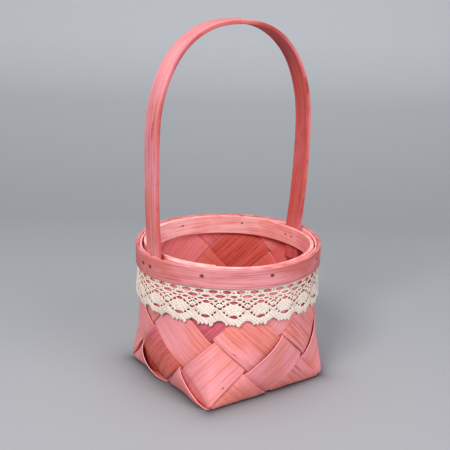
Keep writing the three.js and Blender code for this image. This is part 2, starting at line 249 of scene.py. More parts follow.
def band_profile(steps, edge, full):
    """Places across a band from -1 to 1 and the share of its half thickness at each. full is the share
    that is left at its very edge."""
    corner = [1.0, 1 - 0.25 * edge, 1 - 0.6 * edge, 1 - edge]
    middle = list(np.linspace(1 - edge, 0, steps)[1:])
    right = corner + middle
    places = [-p for p in right] + right[-2::-1]
    fall = np.clip((np.abs(places) - 1 + edge) / edge, 0, 1)
    return np.array(places), np.sqrt(1 - fall ** 2) * (1 - full) + full


# ---- materials ----


def add_node(tree, kind, **settings):
    node = tree.nodes.new(kind)
    for key, value in settings.items():
        setattr(node, key, value)
    return node


def link(tree, source, target):
    tree.links.new(source, target)


def set_inputs(node, values):
    for key, value in values.items():
        node.inputs[key].default_value = value


def mapped(tree, vector, scale, location):
    node = add_node(tree, "ShaderNodeMapping")
    set_inputs(node, {"Scale": scale, "Location": location})
    link(tree, vector, node.inputs["Vector"])
    return node.outputs["Vector"]


def new_material(name):
    material = bpy.data.materials.new(name)
    material.use_nodes = True
    tree = material.node_tree
    return material, tree, tree.nodes["Principled BSDF"]


def add_bump(tree, shader, height, strength, distance):
    bump = add_node(tree, "ShaderNodeBump")
    set_inputs(bump, {"Strength": strength, "Distance": distance})
    link(tree, height, bump.inputs["Height"])
    link(tree, bump.outputs["Normal"], shader.inputs["Normal"])


def node_kit(tree):
    """Short makers of shader nodes for one tree."""

    def join(target, value):
        if isinstance(value, (int, float)):
            target.default_value = value
        elif isinstance(value, tuple):
            target.default_value = (*value, 1)
        else:
            link(tree, value, target)

    def noise(vector, scale, detail, rough):
        node = add_node(tree, "ShaderNodeTexNoise")
        set_inputs(node, {"Scale": scale, "Detail": detail, "Roughness": rough})
        link(tree, vector, node.inputs["Vector"])
        return node.outputs["Fac"]

    def ranged(value, low, high, to_low=0.0, to_high=1.0, kind="SMOOTHSTEP"):
        node = add_node(tree, "ShaderNodeMapRange", interpolation_type=kind)
        set_inputs(node, {"From Min": low, "From Max": high, "To Min": to_low, "To Max": to_high})
        link(tree, value, node.inputs["Value"])
        return node.outputs["Result"]

    def mixed(factor, first, second, blend="MIX"):
        node = add_node(tree, "ShaderNodeMix", data_type="RGBA", blend_type=blend)
        join(node.inputs["Factor"], factor)
        colours = [socket for socket in node.inputs if socket.type == "RGBA"]
        join(colours[0], first)
        join(colours[1], second)
        return [socket for socket in node.outputs if socket.type == "RGBA"][0]

    def maths(operation, first, second=None):
        node = add_node(tree, "ShaderNodeMath", operation=operation)
        join(node.inputs[0], first)
        if second is not None:
            join(node.inputs[1], second)
        return node.outputs[0]

    def attribute(key):
        return add_node(tree, "ShaderNodeAttribute", attribute_name=key).outputs["Fac"]

    return noise, ranged, mixed, maths, attribute


def split(tree, vector):
    """The X, Y and Z outputs of a vector."""
    parts = add_node(tree, "ShaderNodeSeparateXYZ")
    link(tree, vector, parts.inputs["Vector"])
    return parts.outputs


STAIN = (0.13, 0.018, 0.016)  # wood blackened by a nail or a knot


def stain_mask(tree, grain, pore, spots):
    """1 inside the spots, each a ragged oval that is a little longer along the grain, and 0 elsewhere."""
    _, ranged, _, maths, _ = node_kit(tree)
    stain = 0.0
    for across, along, radius in spots:
        offset = mapped(tree, grain, (1, 0.85, 0), (-across * MM, -0.85 * along * MM, 0))
        size = add_node(tree, "ShaderNodeVectorMath", operation="LENGTH")
        link(tree, offset, size.inputs[0])
        ragged = maths("ADD", size.outputs["Value"], maths("MULTIPLY", pore, 0.6 * MM))
        stain = maths("MAXIMUM", stain, ranged(ragged, radius * 1.5 * MM, radius * 0.6 * MM))
    return stain


def wood_material(name, pink, warm, deep_dye_and_shade, seed, lines, spacing, arch, spots=(), ridges=1.0, magenta=0.2):
    """Dyed sliced wood. pink and warm are the two tones of the dye, and the colour after them darkens its
    inner faces, partly as deeper dye and partly as painted shade. lines how dark the grain lines are,
    spacing how far apart they lie and arch how far they wander, in millimetres. spots are (across, along,
    radius) of knots and nail stains, in millimetres. ridges is how high the strokes of the grain stand and
    magenta how strongly the dye has run into purple-red streaks."""
    material, tree, shader = new_material(name)
    shader.inputs["Specular IOR Level"].default_value = 0.28
    noise, ranged, mixed, maths, attribute = node_kit(tree)
    grain = add_node(tree, "ShaderNodeUVMap", uv_map="grain").outputs["UV"]

    def streaks(across, along, shift, detail=3.0, rough=0.5):
        """Noise with its own scale across and along the grain."""
        location = (seed * 3.7 + shift, seed * 5.3 - shift, seed)
        return noise(mapped(tree, grain, (across, along, 1), location), 1.0, detail, rough)

    # the grain lines
    drift = maths("MULTIPLY", maths("SUBTRACT", streaks(16, 7, 3.1, 1.5), 0.5), 2 * arch * MM)
    waver = maths("MULTIPLY", streaks(60, 70, 5.9, 2.0), 0.5 * MM)
    uneven = maths("MULTIPLY", streaks(210, 5, 6.1, 1.0), 2.4 * spacing * MM)
    place = maths("ADD", split(tree, grain)["X"], drift)
    place = maths("ADD", maths("ADD", place, waver), uneven)
    ring = maths("FRACT", maths("MULTIPLY", place, 1 / (spacing * MM)))
    late = maths("MULTIPLY", maths("POWER", ring, 6.0), ranged(ring, 1.0, 0.93))
    faint = ranged(streaks(150, 13, 8.3, 2.0), 0.42, 0.66)
    late = maths("MULTIPLY", maths("MULTIPLY", late, faint), 2.3)
    fibre = streaks(900, 24, 0.0, 5.0, 0.65)
    strokes = streaks(460, 8, 7.7)
    blotch = streaks(46, 20, 1.9)
    pore = streaks(2300, 70, 4.4, 2.0)
    run = streaks(240, 9, 12.3, rough=0.55)

    def shade(colour, red, green, blue):
        return tuple(c * f for c, f in zip(colour, (red, green, blue)))

    def lighter(gain, lift):
        return tuple(min(1.0, c * gain + lift) for c in pink)

    # the dye, from its broad tones down to the pores, then inner faces darkened partly with painted shade,
    # pale edges and stains
    tone = maths("ADD", attribute("warm"), ranged(blotch, 0.32, 0.68, -0.55, 0.55))
    base = mixed(ranged(tone, 0.0, 1.0), pink, warm)
    dark = mixed(ranged(tone, 0.0, 1.0), shade(pink, 0.70, 0.36, 0.36), shade(warm, 0.66, 0.36, 0.32))
    base = mixed(ranged(strokes, 0.52, 0.72, 0.0, 0.16 + 0.4 * lines), base, dark)
    base = mixed(ranged(strokes, 0.46, 0.24, 0.0, 0.35), base, lighter(1.12, 0.03))
    base = mixed(ranged(run, 0.56, 0.72, 0.0, magenta), base, shade(pink, 0.78, 0.28, 0.55))
    base = mixed(maths("MULTIPLY", late, lines), base, dark)
    base = mixed(ranged(fibre, 0.50, 0.66, 0.0, 0.34 + 0.5 * lines), base, dark)
    base = mixed(ranged(fibre, 0.48, 0.28, 0.0, 0.22), base, lighter(1.1, 0.04))
    base = mixed(ranged(pore, 0.64, 0.74, 0.0, 0.35), base, shade(warm, 0.42, 0.24, 0.24))
    # inner faces darkened: partly deeper dye, partly painted shade
    base = mixed(attribute("inside"), base, mixed(1.0, base, deep_dye_and_shade, "MULTIPLY"))
    # paler cut edges; on the handle's left shoulder the same mix is a painted highlight
    base = mixed(attribute("edge"), base, lighter(1.05, 0.10))
    base = mixed(maths("MULTIPLY", stain_mask(tree, grain, pore, spots), 0.85), base, STAIN)
    link(tree, base, shader.inputs["Base Color"])
    link(tree, ranged(fibre, 0.3, 0.7, 0.74, 0.55), shader.inputs["Roughness"])
    height = maths("ADD", maths("MULTIPLY", fibre, 0.55), maths("MULTIPLY", strokes, 0.7 * ridges))
    height = maths("ADD", height, maths("MULTIPLY", late, -0.18))
    height = maths("ADD", height, maths("MULTIPLY", pore, -0.25))
    add_bump(tree, shader, height, 0.5, 0.35 * MM)
    return material


# ---- splints ----

WALL_ROWS = 1.998  # crossings from the edge of the base to the splints' ends
STEPS_PER_CROSSING = 18
TAIL_STEPS = 12  # steps over the slanting end of a splint
SPLINT_HALF_WIDTH = 0.446  # in crossings
SPLINT_WIDENING = 0.036  # how much wider each half is near the rim, in crossings
PUFF = 0.26  # how far a splint bows outwards over each crossing
RIM_PRESS = 0.19  # how far the hoops press the layers together
FLAP_LIFT = (4.6, 1.5, 2.2, 1.8)  # how far the free edges stand off at the base, by side
EDGE_LIFT = 0.9  # how far the long edges stand off in the lower wall
LIFT_HALF_WIDTH = 0.46  # distance over which those lifts grow, in crossings
FLOOR_GAP = 0.02  # nothing reaches closer to the floor
SPLINT_GRAIN_SHIFT = 80  # keeps the grain of each splint apart from the others


def edge_lift(runs_along_y, number, across, along, swell, seed):
    """How far the long edges stand off where a crossing lies outside, most of all along the edge of the
    base."""
    middle = number + 0.5 - SPLINTS_EACH_WAY / 2
    reach = (across - middle) / LIFT_HALF_WIDTH
    crossing = np.floor(along) + 0.5
    here = np.full_like(crossing, middle)
    cell_x, cell_y = (here, crossing) if runs_along_y else (crossing, here)
    cell_row = mat_row(cell_x, cell_y)
    upward = -1 if middle < 0 else 1
    row = mat_row(across, along)
    free = smooth_ramp(reach * upward, -0.5, 1.05) ** 1.6
    flap = np.choose(side_of_mat(cell_x, cell_y), FLAP_LIFT) * free * swell ** 0.8
    flap = np.where(np.abs(cell_row) < 0.3, flap, 0) * smooth_ramp(row, -0.12, 0.1)
    edges = EDGE_LIFT * np.abs(reach) ** 3 * swell * np.where((cell_row > 0.3) & (cell_row < 1.2), 1, 0)
    edges = edges * (1 - smooth_ramp(row, 0.95, 1.2)) * (1 + 0.5 * wobble(along + number, seed + 7, 2.3, 2))
    return flap + edges


def splint(runs_along_y, number, material, seed, warm_low, warm_high):
    """One veneer from rim to rim. across and along are its own places on the mat, in crossings."""
    half = SPLINTS_EACH_WAY / 2
    middle = number + 0.5 - half
    places, share = band_profile(steps=12, edge=0.03, full=0.45)
    turned = 2 * (WALL_ROWS + 1) - abs(middle)
    straight = turned - 0.5
    count = int(2 * straight * STEPS_PER_CROSSING)
    line = np.linspace(-straight, straight, count)
    ends = np.linspace(0, 1, TAIL_STEPS)[1:]
    width = SPLINT_HALF_WIDTH + 0.007 * wobble(line, seed, 3.1) + 0.0018 * wobble(line, seed + 50, 0.5)
    width = width + SPLINT_WIDENING * smooth_ramp(mat_row(middle, line), 1.05, 1.35)
    centre = middle + 0.004 * wobble(line, seed + 90, 4.0)
    across = centre[:, None] + width[:, None] * places[None, :]
    along = np.repeat(line[:, None], len(places), 1)

    def tail(direction):
        first = across[0] if direction < 0 else across[-1]
        stop = direction * (2 * (WALL_ROWS + 1) - np.abs(first))
        stop = stop + direction * 0.007 * wobble(first * 10, seed + direction, 2.4)
        start = direction * straight
        rows = start + (stop - start)[None, :] * ends[:, None]
        return np.repeat(first[None, :], len(ends), 0), rows

    low_across, low_along = tail(-1)
    high_across, high_along = tail(1)
    across = np.concatenate([low_across[::-1], across, high_across])
    along = np.concatenate([low_along[::-1], along, high_along])
    x, y = (across, along) if runs_along_y else (along, across)
    side = side_of_mat(x, y)
    u, v = wall_coordinates(side, x, y)
    row = mat_row(x, y)
    crossing = np.floor(along)
    outside = ((number + crossing + half) % 2 == 0) == runs_along_y
    sign = np.where(outside, 1, -1)
    place_in_cell = along - crossing - 0.5
    to_edge = 0.5 - np.abs(place_in_cell)
    swell = np.clip(1 - (2 * place_in_cell) ** 2, 0, 1)
    near_rim = smooth_ramp(row, 1.62, 1.8)
    level = sign * (smooth_ramp(to_edge, -0.06, 0.06) * 2 - 1)
    puff = PUFF * swell * smooth_ramp(row, 0.0, 0.3) * (1 - near_rim)
    offset = level * (LAYER_OFFSET - RIM_PRESS * near_rim + puff)
    offset = offset + np.clip(sign, 0, 1) * edge_lift(runs_along_y, number, across, along, swell, seed)
    normal = surface_normal(side, u, v)
    middle_points = surface_point(side, u, v) + normal * offset[..., None]
    step = normal * (share * SPLINT_THICKNESS / 2)[None, :, None]
    rings = both_faces(middle_points + step, middle_points - step)
    rings[..., 2] = np.maximum(rings[..., 2], FLOOR_GAP)
    grain = np.stack([(across - middle) * PITCH + seed * SPLINT_GRAIN_SHIFT, along * PITCH], -1)
    zero = np.zeros_like(across)
    change = smooth_ramp(row, 0.35, 1.05) * (1 - 0.8 * smooth_ramp(along, -1, 1))
    warm = warm_low + (warm_high - warm_low) * change
    ends_here = np.minimum(np.arange(len(across)), np.arange(len(across))[::-1]) < 2
    rim = np.where(np.abs(places) > 0.995, 0.8, np.where(np.abs(places) > 0.985, 0.3, 0.0))
    edge = np.maximum(np.repeat(rim[None, :], len(across), 0), ends_here[:, None] * 0.75)
    # the inner face is darker: partly deeper dye, partly painted shade
    shades = {
        "inside": both_faces(zero, zero + 1),
        "edge": both_faces(edge, edge),
        "warm": both_faces(warm, warm),
    }
    node = f"splint_{'a' if runs_along_y else 'b'}{number + 1}"
    piece = band_piece(f"{node}_veneer", rings, grain, shades, material)
    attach(piece, "root")
    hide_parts(node)


PINK = (0.89, 0.325, 0.345)
CORAL = (0.84, 0.25, 0.205)
BROWN = (0.75, 0.17, 0.13)
MAGENTA = (0.66, 0.14, 0.19)
# colour that darkens inner faces and hoop rims: deeper dye, and on the splints' inner faces also painted
# shade
DEEP_DYE_AND_SHADE = (0.80, 0.50, 0.47)

# For each splint: tone at its low end and its high end, how dark its grain lines are, their spacing and
# wander, its two dyes, how much its inner face is darkened, partly deeper dye and partly painted shade, and
# its knots.
SPLINTS = {
    "a1": (1.5, -0.1, 1.35, 1.7, 2.5, MAGENTA, BROWN, 0.3, ()),
    "a2": (0.15, 0.4, 0.30, 3.4, 3.0, PINK, CORAL, 0.9, ((14.0, -97.0, 0.9),)),
    "a3": (0.9, 0.35, 0.35, 2.6, 4.0, PINK, CORAL, 0.5, ((-8.0, 52.0, 0.8),)),
    "a4": (0.7, 0.55, 0.60, 3.6, 11.0, PINK, CORAL, 0.75, ()),
    "b1": (0.15, 0.4, 0.40, 3.0, 3.0, PINK, CORAL, 0.5, ()),
    "b2": (0.2, 0.2, 0.40, 3.2, 4.0, PINK, CORAL, 0.35, ()),
    "b3": (0.5, 0.45, 0.85, 3.8, 5.0, PINK, CORAL, 0.7, ()),
    "b4": (0.5, 0.7, 0.45, 2.8, 5.0, PINK, CORAL, 0.6, ((5.0, 30.0, 1.0),)),
}

for index in range(SPLINTS_EACH_WAY):
    for runs_along_y in (True, False):
        seed = 2 * index + (1 if runs_along_y else 2)
        key = f"{'a' if runs_along_y else 'b'}{index + 1}"
        low_tone, high_tone, lines, spacing, arch, pink, warm, depth, knots = SPLINTS[key]
        knots = [(across + seed * SPLINT_GRAIN_SHIFT, along, radius) for across, along, radius in knots]
        inner_dye_and_shade = tuple(value ** depth for value in DEEP_DYE_AND_SHADE)
        wood = wood_material(f"veneer_{key}", pink, warm, inner_dye_and_shade, seed, lines, spacing, arch, knots)
        splint(runs_along_y, index, wood, seed, low_tone, high_tone)

# ---- nails, as the frame has them ----

NAIL_SINK = 0.1  # how far a head is driven into the outer hoop
NAIL_SIDES = 20
NAIL_NODES = [f"rim_nail_{k + 1}" for k in range(6)]
NAIL_NODES += [f"handle_nail_{end}_{k + 1}" for end in ("left", "right") for k in range(2)]


def nail_places():
    """For each nail its node, angle and height, and the radius its head lies at."""
    found = []
    for node in NAIL_NODES:
        low, high = box_mm(node)
        centre = (low + high) / 2
        degrees = math.degrees(math.atan2(centre[1], centre[0]))
        found.append((node, degrees, centre[2], OUTER_HOOP_RADIUS + float(leg_push(degrees)) - NAIL_SINK))
    return found


NAILS = nail_places()


def nail_material():
    material, tree, shader = new_material("nail_steel")
    noise, ranged, mixed, _, _ = node_kit(tree)
    place = add_node(tree, "ShaderNodeTexCoord").outputs["Object"]
    rust = noise(place, 1400.0, 3.0, 0.6)
    link(tree, mixed(ranged(rust, 0.4, 0.62), (0.09, 0.015, 0.014), (0.17, 0.035, 0.028)),
         shader.inputs["Base Color"])
    link(tree, ranged(rust, 0.4, 0.62, 0.25, 0.0), shader.inputs["Metallic"])
    link(tree, ranged(rust, 0.35, 0.65, 0.6, 0.85), shader.inputs["Roughness"])
    return material


def nail(node, degrees, height, length, head, material, seed):
    """A driven nail: a worn domed head, its shank and a blunt tip just through the inner hoop."""
    dice = random.Random(seed)
    dome = [(0.0, 0.42), (0.45, 0.38), (0.8, 0.27), (1.05, 0.1), (1.12, -0.06), (1.06, -0.22)]
    shank = [(0.55, -0.42), (0.5, -0.8), (0.5, -length)]
    tip = [(0.72, -length - 0.04), (0.55, -length - 0.2), (0.0, -length - 0.24)]
    profile = dome + shank + tip  # each has (radius, distance out from the head's own place)
    out = np.append(directions(degrees), 0)
    along = np.array([-out[1], out[0], 0])
    up = np.array([0, 0, 1.0])
    tilt = (dice.uniform(-0.06, 0.06), dice.uniform(-0.06, 0.06))
    points = []
    for radius, depth in profile:
        for k in range(NAIL_SIDES):
            turn = 2 * math.pi * k / NAIL_SIDES
            reach = radius * (1 + 0.04 * math.sin(2 * turn + seed) + 0.02 * math.sin(5 * turn))
            a, b = reach * math.cos(turn), reach * math.sin(turn)
            lean = (tilt[0] * a + tilt[1] * b) if depth >= shank[0][1] else 0
            points.append(out * (head + depth + lean) + along * a + up * (height + b))
    piece = new_object(f"{node}_worn", points, ring_faces(len(profile), NAIL_SIDES), material)
    tidy = bmesh.new()
    tidy.from_mesh(piece.data)
    bmesh.ops.remove_doubles(tidy, verts=tidy.verts, dist=1e-7)
    bmesh.ops.recalc_face_normals(tidy, faces=tidy.faces)
    tidy.to_mesh(piece.data)
    tidy.free()
    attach(piece, "root")
    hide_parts(node)


# ---- hoops ----

PAINTED_LIGHT_FRONT = -130  # angles round which the hoops are painted paler, where they face the lamps: painted light
PAINTED_LIGHT_BACK = 85


def hoop(name, degrees, inner_radius, outer_radius, low, high, material, node, shift):
    """A hoop with its own radii at each angle. shift keeps its grain apart from other pieces' grain."""
    places, share = band_profile(steps=8, edge=0.08, full=0.7)
    centre_radius = (inner_radius + outer_radius) / 2
    half = (outer_radius - inner_radius) / 2
    middle_z = (low + high) / 2
    half_z = (high - low) / 2 + 0.14 * wobble(degrees, shift, 130)
    z = middle_z + half_z[:, None] * places[None, :]
    sheets = []
    for turn in (1, -1):
        radius = centre_radius[:, None] + turn * half[:, None] * share[None, :]
        plan = directions(degrees)[:, None, :] * radius[..., None]
        sheets.append(np.concatenate([plan, z[..., None]], -1))
    run = np.radians(degrees) * OUTER_HOOP_RADIUS
    grain = np.stack([z - middle_z + shift, np.repeat(run[:, None], len(places), 1)], -1)
    rim = np.clip((np.abs(places) - 0.9) / 0.1, 0, 1)
    edge = np.repeat(np.concatenate([rim, rim[::-1]])[None, :], len(degrees), 0)
    tinted = edge * (0.5 + 0.35 * wobble(degrees, shift + 5, 33))[:, None]
    edge = edge * (0.2 + 0.08 * wobble(degrees, shift + 3, 40))[:, None]
    # painted light: paler where the hoops face the lamps at the front and at the back, whose inner face
    # looks towards them; warmer and darker between
    front_away = np.abs(wrapped(degrees - PAINTED_LIGHT_FRONT))
    back_away = np.abs(wrapped(degrees - PAINTED_LIGHT_BACK))
    warm = -0.1 + smooth_ramp(front_away, 10, 45) - 0.7 * (1 - smooth_ramp(back_away, 25, 75))
    warm = np.repeat((warm + 0.15 * wobble(degrees, shift + 9, 150))[:, None], 2 * len(places), 1)
    shades = {"inside": np.clip(tinted, 0, 1), "edge": np.clip(edge, 0, 1), "warm": warm}
    piece = band_piece(name, both_faces(*sheets), grain, shades, material)
    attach(piece, "root")
    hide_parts(node)


def nail_spots(first, middle_z, shift, radius):
    """Places of the nail stains in a hoop's own grain, where the hoop starts at the angle first."""
    spots = []
    for _, degrees, height, _ in NAILS:
        turned = first + (degrees - first) % 360
        spots.append((height - middle_z + shift, math.radians(turned) * OUTER_HOOP_RADIUS, radius))
    return spots


HOOP_PINK = (0.73, 0.285, 0.305)
HOOP_CORAL = (0.60, 0.155, 0.14)
HOOP_STEP = 1.5  # degrees between two rings of a hoop
OUTER_HOOP_INSIDE = OUTER_HOOP_RADIUS - 2.75
OUTER_SHIFT = 480
SCARF_START = 100  # angle where the thinned ends of the outer hoop start to lap
SCARF_LENGTH = 30  # degrees of the lap
SCARF_THIN = 0.5  # thickness of an end at its tip
SCARF_THICK = 1.6  # thickness of an end where the lap stops
SCARF_GAP = 0.15

OUTER_SPOTS = nail_spots(SCARF_START, (RIM_TOP + HOOP_BOTTOM) / 2, OUTER_SHIFT, 1.6)
HOOP_WOOD = wood_material("hoop_wood", HOOP_PINK, HOOP_CORAL, DEEP_DYE_AND_SHADE, seed=11, lines=0.75, spacing=3.0,
                          arch=6.0, spots=OUTER_SPOTS)
angles = np.arange(SCARF_START, SCARF_START + 360 + SCARF_LENGTH + 0.1, HOOP_STEP)
rise = (SCARF_THICK - SCARF_THIN) * ((angles - SCARF_START) % 360) / SCARF_LENGTH
in_first = angles <= SCARF_START + SCARF_LENGTH
in_last = angles >= SCARF_START + 360
outer_face = np.where(in_first, OUTER_HOOP_INSIDE + SCARF_THIN + rise, OUTER_HOOP_RADIUS)
inner_face = np.where(in_last, OUTER_HOOP_INSIDE + SCARF_THIN + rise + SCARF_GAP, OUTER_HOOP_INSIDE)
bulge = leg_push(angles)
hoop("outer_hoop_wood", angles, inner_face + bulge, outer_face + bulge, HOOP_BOTTOM, RIM_TOP, HOOP_WOOD,
     "outer_rim_hoop", OUTER_SHIFT)

# The inner hoop's visible end is at the front left. From there it lies as a second layer back to the
# left leg, then goes once round the basket and ends behind its own first layer.
INNER_START = -135  # angle of that end
INNER_TURN = 395  # degrees that the hoop runs
INNER_LAP = 355  # travel after which it lies behind its own first layer
INNER_HOOP_FACES = (64.3, 67.2)  # inner and outer radius of the single layer
LAP_FACES = (61.7, 64.05)  # the same where it lies as a second layer
LAP_FADE = 13  # degrees beyond the left leg where that layer eases out
LEFT_BOW = 1.75  # how far the left leg pushes it in
RIGHT_BOW = 2.6  # the same for the right leg
RIGHT_BOW_REACH = 27
INNER_SHIFT = 560

travel = np.arange(0, INNER_TURN + 0.1, HOOP_STEP)
angles = INNER_START - travel
lap = 1 - smooth_ramp(-angles, 180, 180 + LAP_FADE)
bow = RIGHT_BOW * np.exp(-((wrapped(angles) / RIGHT_BOW_REACH) ** 2))
bow = bow + LEFT_BOW * leg_share(angles) * (np.abs(angles + 180) < 80) * (1 - lap)
bow = np.where(travel > INNER_LAP, 0, bow)
inner_face = INNER_HOOP_FACES[0] + (LAP_FACES[0] - INNER_HOOP_FACES[0]) * lap - bow
outer_face = INNER_HOOP_FACES[1] + (LAP_FACES[1] - INNER_HOOP_FACES[1]) * lap - bow
INNER_PINK = (1.0, 0.54, 0.53)
INNER_CORAL = (0.90, 0.33, 0.31)
INNER_SPOTS = nail_spots(INNER_START - 360, (inner_low[2] + inner_high[2]) / 2, INNER_SHIFT, 1.0)
INNER_WOOD = wood_material("inner_hoop_wood", INNER_PINK, INNER_CORAL, DEEP_DYE_AND_SHADE, seed=13, lines=0.55,
                           spacing=2.8, arch=5.0, spots=INNER_SPOTS)
hoop("inner_hoop_wood", angles, inner_face, outer_face, inner_low[2], inner_high[2], INNER_WOOD,
     "inner_rim_hoop", INNER_SHIFT)

STEEL = nail_material()
for order, (node, degrees, height, head) in enumerate(NAILS):
    tip = float(np.interp((INNER_START - degrees) % 360, travel, inner_face))
    nail(node, degrees, height, head - tip, head, STEEL, order + 3)

# ---- handle ----

LEFT_FACE_AT_RIM = 70.9  # outer face of a leg where the hoops clamp it
RIGHT_FACE_AT_RIM = 68.5
LEG_FLARE_TOP = 168  # height where the legs reach their full spread
BOW_CENTRE = 190  # height where the legs turn into the bow
BOW_POWER = 2.31  # 2 is an ellipse, a little more is fuller in the shoulders
HANDLE_THICKNESS = 3.5
HANDLE_SAMPLES = 340
HANDLE_SHIFT = 900  # keeps its grain apart from the other pieces' grain
HANDLE_PINK = (0.76, 0.28, 0.33)
HANDLE_CORAL = (0.70, 0.205, 0.185)
# colour that darkens the handle's sides and inner face: dye, and on the inner face also painted shade
HANDLE_DEEP_DYE_AND_SHADE = (0.80, 0.44, 0.40)


def handle_leg(face_at_rim, lean):
    """Middle line of a leg's outer face from its foot to the top of the bow, as (distance, height). lean
    is how far the leg stands out more where it turns into the bow."""
    heights = np.linspace(HANDLE_FOOT, BOW_CENTRE, 60)
    flare = np.sin(np.clip((heights - RIM_TOP) / (LEG_FLARE_TOP - RIM_TOP), 0, 1) * math.pi / 2)
    leg = np.stack([face_at_rim + (BOW_HALF_SPAN - face_at_rim) * flare, heights], -1)
    turn = np.linspace(0, math.pi / 2, 90)[1:]
    bow_x = BOW_HALF_SPAN * np.cos(turn).clip(0) ** (2 / BOW_POWER)
    bow_z = BOW_CENTRE + (HANDLE_TOP - BOW_CENTRE) * np.sin(turn) ** (2 / BOW_POWER)
    line = np.concatenate([leg, np.stack([bow_x, bow_z], -1)])
    line[:, 0] += lean * smooth_ramp(line[:, 1], 130, 190) * (1 - smooth_ramp(line[:, 1], 215, HANDLE_TOP))
    return line


def handle():
    right = handle_leg(RIGHT_FACE_AT_RIM, 0.7)
    left = handle_leg(LEFT_FACE_AT_RIM, -0.2)[:-1] * np.array([-1, 1])
    line = np.concatenate([left, right[::-1]])
    run = np.concatenate([[0], np.cumsum(np.linalg.norm(np.diff(line, axis=0), axis=1))])
    samples = np.linspace(0, run[-1], HANDLE_SAMPLES)
    line = np.stack([np.interp(samples, run, line[:, k]) for k in (0, 1)], -1)
    tangent = np.gradient(line, axis=0)
    tangent /= np.linalg.norm(tangent, axis=1, keepdims=True)
    out = np.stack([-tangent[:, 1], tangent[:, 0]], -1)
    places, share = band_profile(steps=12, edge=0.07, full=0.78)
    width = HANDLE_WIDTH / 2 * (1 + 0.008 * wobble(samples, 31, 160))
    thick = HANDLE_THICKNESS * (1 + 0.03 * wobble(samples, 37, 120))
    crown = 0.3 * (1 - places ** 2) - 0.3
    ridges = 0.05 * np.sin(places * 19) + 0.04 * np.sin(places * 31 + 1)
    sheets = []
    for turn in (1, -1):
        depth = -thick[:, None] / 2 + turn * thick[:, None] / 2 * share[None, :]
        depth = depth + ((crown + ridges * (np.abs(places) < 0.9)) if turn > 0 else 0)
        x = line[:, None, 0] + out[:, None, 0] * depth
        z = line[:, None, 1] + out[:, None, 1] * depth
        y = width[:, None] * places[None, :]
        sheets.append(np.stack([x, y, z], -1))
    across = np.repeat((places * HANDLE_WIDTH / 2)[None, :], len(samples), 0)
    grain = np.stack([across + HANDLE_SHIFT, np.repeat(samples[:, None], len(places), 1)], -1)
    zero = np.zeros((len(samples), len(places)))
    side = np.clip((np.abs(places) - 0.93) / 0.07, 0, 1)[None, :] * np.where(line[:, :1] < 0, 0.75, 0.2)
    warm = 0.45 + 0.35 * wobble(samples, 41, 210)[:, None] + zero
    # painted highlight on the outer face near the left shoulder
    pale = 0.4 * np.exp(-((line[:, :1] + 58) / 13) ** 2) * smooth_ramp(line[:, 1:], 185, 225)
    # sides darker in their own colour, more on the left leg; the inner face darker and warmer, partly
    # painted shade
    shades = {
        "inside": both_faces(zero + side, zero + 0.9),
        "edge": both_faces(zero + pale, zero),
        "warm": np.clip(both_faces(warm, warm + 0.3), 0, 1),
    }
    wood = wood_material("handle_wood", HANDLE_PINK, HANDLE_CORAL, HANDLE_DEEP_DYE_AND_SHADE, seed=17, lines=1.25,
                         spacing=2.2, arch=2.0, ridges=2.0, magenta=0.9)
    piece = band_piece("handle_wood_strip", both_faces(*sheets), grain, shades, wood)
    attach(piece, "root")
    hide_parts("handle_bow")


handle()

# ---- lace ----
# One period of the lace is laid out flat: x runs along the strip from the middle of a diamond and z is
# the height it hangs at. Holes are lenses, and the cloth between them is meshed with a clean outline.

LACE_SCALLOPS = 22
LACE_PERIOD = 20.4
LACE_GRID = 0.4
LACE_TOP = lace_high[2] + 0.2
LACE_VALLEY = 71.2  # height of the notches between two scallops
SCALLOP_DEPTH = 2.3
NUB_DEPTH = 1.75  # how far a nub of depth 1 stands out below its scallop
LACE_HALF_THICK = 0.36
LACE_GAP = 1.62  # from the middle of the wall to the back of the lace
LACE_FLARE = 0.8  # how far the free edge stands off the wall
LACE_START_ANGLE = 101.0
LACE_LAP = 9.0  # degrees that the end of the strip laps over its start
LACE_LAP_LIFT = 0.95  # how far the end is lifted where it laps
DIAMOND_Z = 79.8
DIAMOND_HALF_WIDTH = 5.8
DIAMOND_HALF_HEIGHT = 4.1

LACE_GRID_X = LACE_PERIOD / int(round(LACE_PERIOD / LACE_GRID))
DEGREE_RUN = LACE_PERIOD * LACE_SCALLOPS / 360
LACE_LAP_RUN = LACE_LAP * DEGREE_RUN
LACE_START_COLUMN = int(LACE_START_ANGLE * DEGREE_RUN / LACE_GRID_X)
LACE_END_COLUMN = int((LACE_START_ANGLE + 360 + LACE_LAP) * DEGREE_RUN / LACE_GRID_X)
LACE_END = LACE_END_COLUMN * LACE_GRID_X

